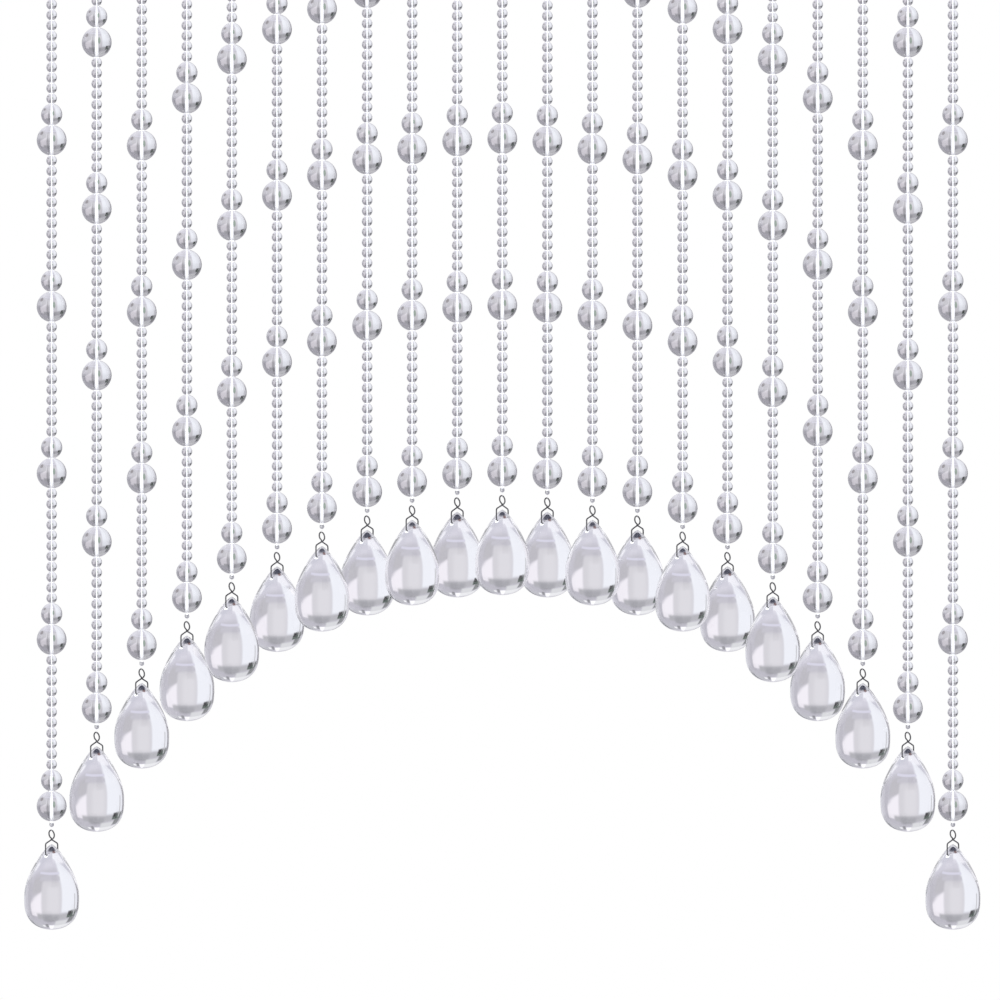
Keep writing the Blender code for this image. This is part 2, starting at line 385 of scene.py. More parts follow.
Spot = namedtuple("Spot", "name u v half_width half_length tint")
BEAD_FAULTS_AND_PAINTED_SHADE = (
    # A strip kept clear of the painted foot shade, so the hole's painted glow shows bright.
    Spot("clear strip before the hole", 0.752, 0.62, 0.016, 0.34, (1.0, 1.0, 1.0)),
    # Painted shade: a dark stripe beside the hole.
    Spot("dark stripe beside the hole", 0.709, 0.50, 0.013, 0.30, (0.30, 0.29, 0.31)),
    Spot("green fleck", 0.779, 0.39, 0.018, 0.085, (0.17, 0.27, 0.18)),
    Spot("brown seed", 0.6175, 0.275, 0.032, 0.055, (0.07, 0.05, 0.05)),
)


def maths(tree, operation, *values):
    """One step of arithmetic."""
    return add_node(tree, "ShaderNodeMath", list(enumerate(values)), operation=operation).outputs[0]


def tinted(tree, under, tint, share):
    """The colour under it, mixed with the tint as far as the share says."""
    mix = add_node(tree, "ShaderNodeMix", [("Factor", share)], data_type="RGBA")
    if isinstance(under, tuple):
        mix.inputs[6].default_value = (*under, 1.0)
    else:
        tree.links.new(under, mix.inputs[6])
    mix.inputs[7].default_value = (*tint, 1.0)
    return mix.outputs[2]


def uv_of(tree):
    """The piece's own u and v as two outputs."""
    uv = add_node(tree, "ShaderNodeUVMap", uv_map="surface").outputs["UV"]
    split = add_node(tree, "ShaderNodeSeparateXYZ", [("Vector", uv)])
    return uv, split.outputs["X"], split.outputs["Y"]


def with_spots(tree, colour, around, along, glass_spots):
    """Small soft-edged spots laid over the colour. Some are faults in the glass. The others are painted
    shade, a strip kept clear of painted shade, and a painted image of the wire.

    With q = (du / half width)^2 + (dv / half length)^2, a spot's share is (1 - q) / 0.6, kept from 0 to 1.
    """
    for glass_spot in glass_spots:
        across = maths(tree, "DIVIDE", maths(tree, "SUBTRACT", around, glass_spot.u), glass_spot.half_width)
        down = maths(tree, "DIVIDE", maths(tree, "SUBTRACT", along, glass_spot.v), glass_spot.half_length)
        down_squared = maths(tree, "MULTIPLY", down, down)
        squares = maths(tree, "MULTIPLY_ADD", across, across, down_squared)
        colour = tinted(tree, colour, glass_spot.tint, ramp(tree, squares, 1.0, 0.4))
    return colour


def streaky_glass_with_painted_light():
    """Bead glass: wavy glass with grey streaks from hole to hole, painted shade at its foot and rims, a
    painted glow at its top, and a few small spots.

    The streaks are a noise stretched along the bead's own UV. They are partly striae in the glass and
    partly painted shade, which makes them stronger on the side that faces front left. The painted shade
    of the foot starts suddenly on that side, elsewhere slowly. Painted shade darkens the glass where it
    is seen edge on, below the top. The top has a painted glow, stronger on the front left side.
    """
    material, tree, shader = wavy_glass(
        "bead_glass", BEAD_TINT, wave_scale=150.0, wave_height=0.08 * MM, haze=0.04, glow=GLOW_OF_BEAD
    )
    uv, around, along = uv_of(tree)
    stretched = add_node(tree, "ShaderNodeMapping", [("Vector", uv), ("Scale", (26.0, 1.3, 1.0))])
    vector = stretched.outputs["Vector"]
    noise = add_node(tree, "ShaderNodeTexNoise", [("Vector", vector), ("Scale", 1.0), ("Detail", 3.0)])
    # Streaks, partly striae and partly painted shade, stronger on the front left side.
    begins, ends = ramp(tree, around, *FRONT_LEFT_SIDE_BEGINS_U), ramp(tree, around, *FRONT_LEFT_SIDE_ENDS_U)
    left = maths(tree, "MULTIPLY", begins, ends)
    side = ramp(tree, left, 0.0, 1.0, STREAKS_ON_OTHER_SIDES, STREAKS_AND_SHADE_ON_FRONT_LEFT)
    streaks = maths(tree, "MULTIPLY", ramp(tree, noise.outputs["Fac"], *STREAK_NOISE), side)
    colour = tinted(tree, BEAD_TINT, STREAK_AND_SHADE_TINT, streaks)
    # Painted shade on the foot: sudden on the front left side, slow elsewhere.
    slow = ramp(tree, along, *SLOW_PAINTED_FOOT_SHADE_V)
    sudden = maths(tree, "MULTIPLY", left, ramp(tree, along, *SUDDEN_PAINTED_FOOT_SHADE_V))
    colour = tinted(tree, colour, PAINTED_FOOT_SHADE, maths(tree, "MAXIMUM", slow, sudden))
    colour = with_spots(tree, colour, around, along, BEAD_FAULTS_AND_PAINTED_SHADE)
    # Painted shade where the glass is seen edge on, below the top.
    edge = add_node(tree, "ShaderNodeLayerWeight", [("Blend", 0.35)])
    seen_edge_on = ramp(tree, edge.outputs["Facing"], *PAINTED_EDGE_SHADE_FACING)
    rim = maths(tree, "MULTIPLY", seen_edge_on, ramp(tree, along, *PAINTED_EDGE_SHADE_V))
    # Painted glow on the top, stronger on the front left side.
    haze = ramp(tree, left, 0.0, 1.0, PAINTED_LIGHT_ON_TOP_ELSEWHERE, PAINTED_LIGHT_ON_TOP_FRONT_LEFT)
    glow = maths(tree, "MULTIPLY_ADD", haze, ramp(tree, along, *PAINTED_LIGHT_ON_TOP_V), GLOW_OF_BEAD)
    tree.links.new(glow, shader.inputs["Emission Strength"])
    tree.links.new(tinted(tree, colour, PAINTED_EDGE_SHADE, rim), shader.inputs["Base Color"])
    return material


bead_glass = streaky_glass_with_painted_light()
print("bead glass:", len(BEAD_FAULTS_AND_PAINTED_SHADE), "glass_spots")

# %% Glass of the drops
# Painted glow: the whole drop a little, the shoulders more, the tip not at all.
GLOW_OF_BODY = 0.02
GLOW_OF_SHOULDERS = 0.035
SHOULDERS_V = (0.46, 0.30)
CLEAR_TIP_V = (0.17, 0.23)
DROP_TINT = (0.985, 0.98, 0.99)
# A painted image of the wire's leg, seen through the glass by the hole.
DROP_PAINTED_SPOTS = (Spot("painted_wire_image fleck by the hole", 0.793, 0.177, 0.036, 0.026, (0.22, 0.10, 0.09)),)


def pear_glass():
    """Drop glass: wavy glass with a painted glow, a little stronger at its shoulders, where light goes
    round inside.

    The tip doesn't glow. A reddish-brown spot by the hole is a painted image of the wire's leg seen
    through the glass.
    """
    material, tree, shader = wavy_glass(
        "drop_glass", DROP_TINT, wave_scale=70.0, wave_height=0.15 * MM, haze=0.03, glow=GLOW_OF_BODY
    )
    _, around, along = uv_of(tree)
    # Painted glow, stronger at the shoulders, none at the tip.
    glow = ramp(tree, along, *SHOULDERS_V, GLOW_OF_BODY, GLOW_OF_SHOULDERS)
    glow = maths(tree, "MULTIPLY", glow, ramp(tree, along, *CLEAR_TIP_V))
    tree.links.new(glow, shader.inputs["Emission Strength"])
    tree.links.new(with_spots(tree, DROP_TINT, around, along, DROP_PAINTED_SPOTS), shader.inputs["Base Color"])
    return material


drop_glass = pear_glass()
print("drop glass:", len(DROP_PAINTED_SPOTS), "glass_spot")

# %% Ground glass
# Painted glow of the hole's wall.
GLOW_OF_GROUND_GLASS = 0.75


def ground_glass():
    """The wall of a drilled hole: white and matt, with the fine rings that a drill leaves.

    Its painted glow stands for the light that comes in through the glass.
    """
    material, tree, shader = material_with(
        "ground_glass", Base_Color=(0.97, 0.98, 0.99, 1.0), Roughness=0.8,
        Emission_Strength=GLOW_OF_GROUND_GLASS,
    )
    shader.inputs["Emission Color"].default_value = (0.95, 0.97, 1.0, 1.0)
    place = add_node(tree, "ShaderNodeTexCoord").outputs["Object"]
    rings = [("Vector", place), ("Scale", 400.0), ("Distortion", 2.0)]
    rings = add_node(tree, "ShaderNodeTexWave", rings, bands_direction="Z")
    bump = add_node(tree, "ShaderNodeBump", [("Height", rings.outputs["Fac"]), ("Distance", 0.02 * MM)])
    tree.links.new(bump.outputs["Normal"], shader.inputs["Normal"])
    return material


drilled = ground_glass()
print("glass:", bead_glass.name, drop_glass.name, drilled.name)

# %% Thread and wire
# Painted glow that lifts the thread and the stitches towards white.
GLOW_OF_THREAD = 0.2


def twisted_thread():
    """White beading thread with a painted glow: fine slanting bands, worked out from the tube's own UV,
    stand for its plies.
    """
    material, tree, shader = material_with(
        "thread", Base_Color=(0.93, 0.93, 0.95, 1.0), Roughness=0.75, Emission_Strength=GLOW_OF_THREAD
    )
    uv = add_node(tree, "ShaderNodeUVMap", uv_map="surface").outputs["UV"]
    slant = add_node(tree, "ShaderNodeMapping", [("Vector", uv), ("Scale", (2.0, 240.0, 1.0))])
    bands = [("Vector", slant.outputs["Vector"]), ("Scale", 1.0)]
    plies = add_node(tree, "ShaderNodeTexWave", bands, bands_direction="DIAGONAL")
    tint = add_node(tree, "ShaderNodeValToRGB", [("Fac", plies.outputs["Fac"])])
    tint.color_ramp.elements[0].color = (0.80, 0.79, 0.84, 1.0)
    tint.color_ramp.elements[1].color = (0.95, 0.95, 0.97, 1.0)
    tree.links.new(tint.outputs["Color"], shader.inputs["Base Color"])
    bump = add_node(tree, "ShaderNodeBump", [("Height", plies.outputs["Fac"]), ("Distance", 0.05 * MM)])
    tree.links.new(bump.outputs["Normal"], shader.inputs["Normal"])
    return material


def drawn_metal(name, dark, light, smooth, rough):
    """Plain metal: a fine noise moves its colour from dark to light and its roughness from smooth to rough."""
    material, tree, shader = material_with(name, Metallic=1.0, Roughness=rough)
    place = add_node(tree, "ShaderNodeTexCoord").outputs["Object"]
    patches = add_node(tree, "ShaderNodeTexNoise", [("Vector", place), ("Scale", 900.0), ("Detail", 4.0)])
    tint = add_node(tree, "ShaderNodeValToRGB", [("Fac", patches.outputs["Fac"])])
    tint.color_ramp.elements[0].color = (dark, dark, dark * 1.03, 1.0)
    tint.color_ramp.elements[1].color = (light, light, light * 1.02, 1.0)
    tree.links.new(tint.outputs["Color"], shader.inputs["Base Color"])
    tree.links.new(ramp(tree, patches.outputs["Fac"], 0.0, 1.0, smooth, rough), shader.inputs["Roughness"])
    return material


thread_finish = twisted_thread()
wire_finish = drawn_metal("steel_wire", 0.10, 0.26, 0.2, 0.45)
crimp_finish = drawn_metal("bright_crimp", 0.62, 0.85, 0.12, 0.3)
print("finishes:", thread_finish.name, wire_finish.name, crimp_finish.name)

# %% [markdown]
# ## The beads
#
# Three sizes repeat up each string, counted from the drop: one large bead, one medium bead, then eleven
# small ones. A bead is a ball cut flat at both ends and drilled through. The large and medium ones are
# drilled with a tapered bit, so the hole is narrow above and wide below. The beads of one string are
# joined into one mesh.

# %% One bead
Bead = namedtuple("Bead", "pitch width rim bore_top bore_foot sides arcs")
LARGE = Bead(14.0 * MM, 14.0 * MM, 1.50 * MM, 0.16 * MM, 0.80 * MM, 28, 16)
MEDIUM = Bead(10.0 * MM, 9.97 * MM, 1.20 * MM, 0.16 * MM, 0.65 * MM, 24, 14)
SMALL = Bead(4.87 * MM, 5.10 * MM, 1.00 * MM, 0.15 * MM, 0.27 * MM, 10, 5)
END_CLEARANCE = 0.04 * MM
GLASS_MARK, BORE_MARK = 0, 1
OUTSIDE_SHARE_OF_V = 0.85


def bead_skin(bead):
    """A drilled ball. Outside, r = a cos t and z = b sin t, cut where r is the rim. Inside, a slim cone."""
    half_width = bead.width / 2
    half_height = bead.pitch / 2 - END_CLEARANCE
    cut = np.arccos(bead.rim / half_width)
    t = np.linspace(cut, -cut, bead.arcs + 1)
    outside = np.stack([half_width * np.cos(t), half_height * np.sin(t) / np.sin(cut)], -1)
    inside = np.array([[bead.bore_foot, -half_height], [bead.bore_top, half_height]])
    marks = np.full(len(outside) + len(inside), GLASS_MARK)
    marks[bead.arcs :] = BORE_MARK
    row_v = np.append(np.linspace(0, OUTSIDE_SHARE_OF_V, len(outside)), [0.9, 0.95])
    return turned(np.vstack([outside, inside]), bead.sides, marks, closed=True, row_v=row_v)


bead_skins = {bead: bead_skin(bead) for bead in (LARGE, MEDIUM, SMALL)}
face_counts = [len(skin.sizes) for skin in bead_skins.values()]
print("faces of a bead, large, medium and small:", *face_counts)

# %% The order of the beads on a string
LARGE_BEAD_FOOT = 12.2 * MM
ROOT_KNOT_HEIGHT = 1.8 * MM
SMALL_BEADS_IN_A_RUN = 11
LOOSENESS = 0.02 * MM


def bead_places(length):
    """The height of each bead's middle above the drop's tip, for a string of this length."""
    pattern = [LARGE, MEDIUM] + [SMALL] * SMALL_BEADS_IN_A_RUN
    places = {LARGE: [], MEDIUM: [], SMALL: []}
    height, top, step = LARGE_BEAD_FOOT, length - ROOT_KNOT_HEIGHT, 0
    while height + pattern[step % len(pattern)].pitch <= top:
        bead = pattern[step % len(pattern)]
        places[bead].append(height + bead.pitch / 2)
        height += bead.pitch
        step += 1
    while height + SMALL.pitch <= top:
        places[SMALL].append(height + SMALL.pitch / 2)
        height += SMALL.pitch
    return places


def loose(heights, random):
    """Rows (x, y, z) for beads that sit a little off the thread, because their holes are wider than it."""
    shift = random.uniform(-LOOSENESS, LOOSENESS, (len(heights), 2))
    return np.column_stack([shift, heights])


# %% Beads for all the strings
random = np.random.default_rng(21)
total = {LARGE: 0, MEDIUM: 0, SMALL: 0}
for string in strings:
    places = bead_places(string.length)
    skin = joined(*(repeated(bead_skins[bead], loose(places[bead], random)) for bead in places))
    mesh = new_mesh(f"beads_{string.number:02d}", skin, (bead_glass, drilled), sharp_above=50)
    mesh.transform(string.matrix)
    new_piece(mesh.name, mesh, [f"string_{string.number:02d}"])
    for bead in places:
        total[bead] += len(places[bead])
print("beads, large, medium and small:", *total.values())

# %% [markdown]
# ## Thread, crimps and wire hooks
#
# The thread runs down through every bead. Under the last one, a crimp bead squeezes it, and it loops
# through the eye of a wire hook. The hook is one wire: an eye, a crossing under it, and two legs that go
# down over the drop's shoulders and turn into the ends of the hole drilled through it. The legs stand
# across the view at a slant, so one shows in front of the glass and the other behind it.

# %% Thread
THREAD_RADIUS = 0.10 * MM
CRIMP_HEIGHT = 10.6 * MM
EYE_TOP = 8.3 * MM
WIRE_RADIUS = 0.34 * MM
KNOT_RADIUS = 1.25 * MM


def thread_skin(length):
    """A straight thread with a knot at its root, turned from radius against height.

    A thin loop under it passes through the hook's eye.
    """
    t = np.linspace(0, np.pi, 9)[1:-1]
    knot = np.stack([KNOT_RADIUS * np.sin(t) ** 0.8, length - ROOT_KNOT_HEIGHT * (1 - np.cos(t)) / 2], -1)
    heights = np.linspace(length - ROOT_KNOT_HEIGHT, CRIMP_HEIGHT, 60)
    shaft = np.stack([np.full(60, THREAD_RADIUS), heights], -1)
    straight = turned(np.vstack([[[0.0, length]], knot, shaft, [[0.0, CRIMP_HEIGHT]]]), 8)
    low, wide, high = EYE_TOP - 3.4 * WIRE_RADIUS, 2.2 * WIRE_RADIUS, CRIMP_HEIGHT - 0.6 * MM
    side = [(0, 0.1 * wide, high), (0, wide, EYE_TOP)]
    knots = [*side, (0, 0, low), (0, -wide, EYE_TOP), (0, -0.1 * wide, high)]
    loop = tube(smooth_path(knots, 8), THREAD_RADIUS * 0.6, 8, reference=(1.0, 0.0, 0.0))
    return joined(straight, loop)


for string in strings:
    mesh = new_mesh(f"thread_{string.number:02d}", thread_skin(string.length), (thread_finish,))
    mesh.transform(string.matrix)
    new_piece(mesh.name, mesh, [f"string_{string.number:02d}"])
print("threads:", len(strings))

# %% Crimp bead and hook
CRIMP_RADIUS = 1.1 * MM
CRIMP_MARK = 1
EYE_HALF_WIDTH = 1.22 * MM
EYE_HALF_HEIGHT = 1.95 * MM
CROSSING_HEIGHT = 3.6 * MM
CROSSING_CLEARANCE = 0.3 * MM
SHOULDER_HEIGHT = 1.7 * MM
SHOULDER_SPREAD = 5.7 * MM
HOLE_DEPTH = 3.7 * MM
LEG_CLEAR_OF_GLASS = 5.75 * MM
LEG_END_IN_HOLE = 3.9 * MM
LEG_TURN = np.radians(62)
EYE_TURN = np.radians(12)
EYE_LEAN = 0.16


def turned_about_z(rows, angle):
    """Rows (s, d, z) turned about Z: x = s cos a - d sin a, y = s sin a + d cos a."""
    s, d, z = np.asarray(rows, float).T
    return np.stack([s * np.cos(angle) - d * np.sin(angle), s * np.sin(angle) + d * np.cos(angle), z], -1)


def hook_skin():
    """One wire: up a leg, over the crossing, round an oval eye, and down the other leg."""
    leg = [
        (LEG_END_IN_HOLE, 0, -HOLE_DEPTH),
        (LEG_CLEAR_OF_GLASS - 1.3 * MM, 0, -HOLE_DEPTH),
        (LEG_CLEAR_OF_GLASS - 0.25 * MM, 0, -HOLE_DEPTH + 0.2 * MM),
        (LEG_CLEAR_OF_GLASS, 0, -HOLE_DEPTH + 0.9 * MM),
        (SHOULDER_SPREAD + 0.1 * MM, 0, -0.3 * MM),
        (SHOULDER_SPREAD, 0, SHOULDER_HEIGHT - 0.3 * MM),
        (SHOULDER_SPREAD * 0.8, 0, SHOULDER_HEIGHT + 0.45 * MM),
    ]
    right = turned_about_z(leg, LEG_TURN)
    left = turned_about_z([(-s, d, z) for s, d, z in leg], LEG_TURN)
    angle = np.radians(np.linspace(-68, 248, 9))
    middle_height = EYE_TOP - WIRE_RADIUS - EYE_HALF_HEIGHT
    eye_height = middle_height + EYE_HALF_HEIGHT * np.sin(angle)
    eye = np.stack([EYE_HALF_WIDTH * np.cos(angle), 0 * angle, eye_height], -1)
    eye[:, 0] -= EYE_LEAN * (eye[:, 2] - middle_height)
    eye = turned_about_z(eye, EYE_TURN)
    front, back = (0, -CROSSING_CLEARANCE, CROSSING_HEIGHT), (0, CROSSING_CLEARANCE, CROSSING_HEIGHT)
    path = smooth_path(np.vstack([left, [front], eye, [back], right[::-1]]), 6)
    t = np.linspace(np.pi, 0, 9)
    crimp = np.stack([CRIMP_RADIUS * np.sin(t) ** 0.7, CRIMP_HEIGHT - CRIMP_RADIUS * np.cos(t)], -1)
    return joined(tube(path, WIRE_RADIUS, 10), turned(crimp, 16, CRIMP_MARK))


hook = hook_skin()
for string in strings:
    mesh = new_mesh(f"hook_{string.number:02d}", hook, (wire_finish, crimp_finish))
    mesh.transform(string.matrix)
    new_piece(mesh.name, mesh, [f"string_{string.number:02d}"])
print("faces of a hook and its crimp:", len(hook.sizes))

# %% [markdown]
# ## The drops
#
# A drop is pressed glass shaped like a pear, widest three fifths of the way down. One formula serves
# above the belly and another below it, and they meet with the same slope. A hole is drilled across it
# just under the tip, with a Boolean on the first drop. The others are copies of that mesh.

# %% Shape of a drop
DROP_WIDTH = 25.6 * MM
DROP_HEIGHT = 39.9 * MM
TIP_ABOVE_NODE = 1.5 * MM
DROP_BELLY = 0.615
SHOULDER_POWER = 1.40
SHOULDER_FULLNESS = 0.52
FOOT_POWER = 3.0
HOLE_RADIUS = 0.45 * MM
MOUTH_RADIUS = 1.15 * MM
MOUTH_DEPTH = 0.5 * MM
MOUTH_MARKS = np.array([1, 0, 1])


def drop_radius(share):
    """Above the belly r = w sin(90 deg (s / belly)^p)^q, and below it r = w sqrt(1 - d^n).

    Here s is the share of the height from the tip down, and d the share from the belly to the foot.
    """
    above = np.clip(share / DROP_BELLY, 0, 1)
    below = np.clip((share - DROP_BELLY) / (1 - DROP_BELLY), 0, 1)
    shoulder = np.sin(np.pi / 2 * above**SHOULDER_POWER) ** SHOULDER_FULLNESS
    return DROP_WIDTH / 2 * shoulder * np.sqrt(1 - below**FOOT_POWER)


def drop_skin():
    """The profile turned about Z. Its rows crowd towards the tip and the foot, which curve most."""
    share = (1 - np.cos(np.linspace(0, np.pi, 56))) / 2
    profile = np.stack([drop_radius(share), TIP_ABOVE_NODE - share * DROP_HEIGHT], -1)
    return turned(profile, 64)


def drilled_drop():
    """The drop's mesh with a hole cut across it along the hook's legs."""
    drop = bpy.data.objects.new("drop", new_mesh("drop", drop_skin(), (drop_glass,)))
    mouth = float(drop_radius((HOLE_DEPTH + TIP_ABOVE_NODE) / DROP_HEIGHT))
    half = [(HOLE_RADIUS, mouth - MOUTH_DEPTH), (MOUTH_RADIUS, mouth + MOUTH_DEPTH), (0, mouth + MOUTH_DEPTH)]
    drill_profile = half[::-1] + [(r, -s) for r, s in half]
    drill_mesh = new_mesh("drill", turned(drill_profile, 20, MOUTH_MARKS), (drop_glass, drilled))
    drill = bpy.data.objects.new("drill", drill_mesh)
    lying = Matrix.Rotation(LEG_TURN, 4, "Z") @ Matrix.Rotation(np.pi / 2, 4, "Y")
    drill.matrix_world = Matrix.Translation((0, 0, -HOLE_DEPTH)) @ lying
    for helper in (drop, drill):
        bpy.context.scene.collection.objects.link(helper)
    cut = drop.modifiers.new("Hole", "BOOLEAN")
    cut.object = drill
    cut.material_mode = "TRANSFER"
    bpy.context.view_layer.update()
    mesh = bpy.data.meshes.new_from_object(drop.evaluated_get(bpy.context.evaluated_depsgraph_get()))
    mesh.set_sharp_from_angle(angle=np.radians(40))
    for helper in (drop, drill):
        bpy.data.objects.remove(helper, do_unlink=True)
    return mesh


first_drop = drilled_drop()
for string in strings:
    mesh = first_drop.copy()
    mesh.name = f"drop_glass_{string.number:02d}"
    mesh.transform(string.matrix)
    new_piece(mesh.name, mesh, [f"drop_{string.number:02d}"])
print("faces of a drop:", len(first_drop.polygons))

# %% [markdown]
# ## The heading tape
#
# The photograph cuts the curtain off below its heading, so this is a plain guess: a woven cotton tape
# folded in two along its length, with the strings' ends sewn between its layers. It is an open sheet that
# a Solidify modifier gives its thickness.

# %% Shape of the tape
CLOTH = 0.7 * MM
TAPE_WAVE = 0.12 * MM
TAPE_WAVES = 9
tape_length = HEADING_HIGH.x - HEADING_LOW.x
tape_height = HEADING_HIGH.z - HEADING_LOW.z
fold_radius = (HEADING_HIGH.y - HEADING_LOW.y) / 2 - CLOTH / 2
layer_height = tape_height - fold_radius - CLOTH / 2
folded_width = 2 * layer_height + np.pi * fold_radius


def tape_skin():
    """A sheet folded over the top: straight layers front and back, and a half circle between them.

    v is the distance across the cloth: the front layer first, then the fold, then the back layer. A slow
    wave along the tape keeps it from being dead straight.
    """
    x = np.linspace(HEADING_LOW.x, HEADING_HIGH.x, 260)[None, :]
    v = np.linspace(0, folded_width, 44)[:, None]
    turn = np.clip((v - layer_height) / fold_radius, 0, np.pi)
    y = -fold_radius * np.cos(turn)
    climb = np.minimum(v, layer_height) - np.maximum(v - layer_height - np.pi * fold_radius, 0)
    z = HEADING_LOW.z + climb + fold_radius * np.sin(turn)
    wave = TAPE_WAVE * np.sin(2 * np.pi * TAPE_WAVES * x / tape_length + 0.6 * np.sin(17 * x / tape_length))
    points = np.stack(np.broadcast_arrays(x, y + wave * (1 - climb / layer_height), z), -1)
    return grid_skin(points, False, False)


# %% Woven cotton
def woven_cotton():
    """A plain weave: two sets of waves across the tape's UV. Slubs and faint soiling are in its colour."""
    material, tree, shader = material_with(
        "woven_tape", Roughness=0.9, Sheen_Weight=0.25, Sheen_Roughness=0.5
    )
    uv = add_node(tree, "ShaderNodeUVMap", uv_map="surface").outputs["UV"]
    warp_count, weft_count = folded_width / (0.45 * MM), tape_length / (0.5 * MM)
    heights = []
    for direction, count in (("X", weft_count), ("Y", warp_count)):
        scale = (count, 1.0, 1.0) if direction == "X" else (1.0, count, 1.0)
        mapped = add_node(tree, "ShaderNodeMapping", [("Vector", uv), ("Scale", scale)])
        wave = add_node(
            tree, "ShaderNodeTexWave",
            [("Vector", mapped.outputs["Vector"]), ("Scale", 0.314), ("Distortion", 0.3)],
            bands_direction=direction,
        )
        heights.append(wave.outputs["Fac"])
    weave = maths(tree, "MULTIPLY", *heights)
    place = add_node(tree, "ShaderNodeTexCoord").outputs["Object"]
    slub = add_node(tree, "ShaderNodeTexNoise", [("Vector", place), ("Scale", 140.0), ("Detail", 5.0)])
    tint = add_node(tree, "ShaderNodeValToRGB", [("Fac", slub.outputs["Fac"])])
    tint.color_ramp.elements[0].color = (0.78, 0.77, 0.74, 1.0)
    tint.color_ramp.elements[1].color = (0.93, 0.93, 0.91, 1.0)
    tree.links.new(tint.outputs["Color"], shader.inputs["Base Color"])
    bump = add_node(tree, "ShaderNodeBump", [("Height", weave), ("Distance", 0.2 * MM)])
    tree.links.new(bump.outputs["Normal"], shader.inputs["Normal"])
    return material


tape = new_piece("tape", new_mesh("tape", tape_skin(), (woven_cotton(),)), ["heading"])
solidify = tape.modifiers.new("Cloth thickness", "SOLIDIFY")
solidify.thickness = CLOTH
solidify.offset = 0.0
print("tape cut to, in mm:", round(tape_length / MM), "by", round(folded_width / MM, 1))

# %% Stitches
STITCH_LENGTH = 2.6 * MM
STITCH_STEP = 3.2 * MM
STITCH_RADIUS = 0.16 * MM
SEAM_ABOVE_EDGE = 3.0 * MM
TACK_HEIGHT = 7.0 * MM
TACK_PASSES = 3


def stitch_skin(span, lift, reference):
    """A short thread that dips into the cloth at both ends: a shallow arch of height 1 - t^4."""
    t = np.linspace(-1, 1, 7)[:, None]
    path = t * np.asarray(span) / 2 + (1 - t**4) * np.asarray(lift)
    return tube(path, STITCH_RADIUS, 6, reference)


def seam_skins(face):
    """Two rows of running stitch along one face of the tape, and upright tacks where strings are sewn in."""
    y = face * (fold_radius + CLOTH / 2 - 0.05 * MM)
    lift = (0, face * 0.16 * MM, 0)
    steps = np.arange(HEADING_LOW.x + 2 * STITCH_STEP, HEADING_HIGH.x - 2 * STITCH_STEP, STITCH_STEP)
    row = stitch_skin((STITCH_LENGTH, 0, 0), lift, (0, 0, 1))
    seams = [
        repeated(row, np.column_stack([steps, np.full(len(steps), y), np.full(len(steps), z)]))
        for z in (HEADING_LOW.z + SEAM_ABOVE_EDGE, HEADING_HIGH.z - SEAM_ABOVE_EDGE)
    ]
    tack = stitch_skin((0, 0, TACK_HEIGHT), lift, (1, 0, 0))
    across = (np.arange(TACK_PASSES) - (TACK_PASSES - 1) / 2) * 2.6 * STITCH_RADIUS
    x = np.array([string.matrix.translation.x for string in strings])
    x = (x[:, None] + across[None]).ravel()
    low = HEADING_LOW.z + 0.6 * MM + TACK_HEIGHT / 2
    seams.append(repeated(tack, np.column_stack([x, np.full(len(x), y), np.full(len(x), low)])))
    return seams


stitch_mesh = new_mesh("stitching", joined(*seam_skins(-1), *seam_skins(1)), (thread_finish,))
stitching = new_piece("stitching", stitch_mesh, [])
one_stitch = stitch_skin((STITCH_LENGTH, 0, 0), (0, 0, 0), (0, 0, 1))
print("stitches and tacks:", len(stitching.data.polygons) // len(one_stitch.sizes))

# %% [markdown]
# ## Studio
#
# Clear glass has no colour of its own. It shows its surroundings upside down and back to front, squeezed
# into its outline, so the picture on every bead and drop is painted by what stands around the set. Behind
# the curtain stand a light panel on the left, a grey one in the middle with a brighter heart, a narrow
# bright one on the right, a black stand and a few dark flags and uprights. Their edges are given in
# degrees around and above the set, and their tones were set until a drop looked like the real
# one. The camera itself sees plain white.

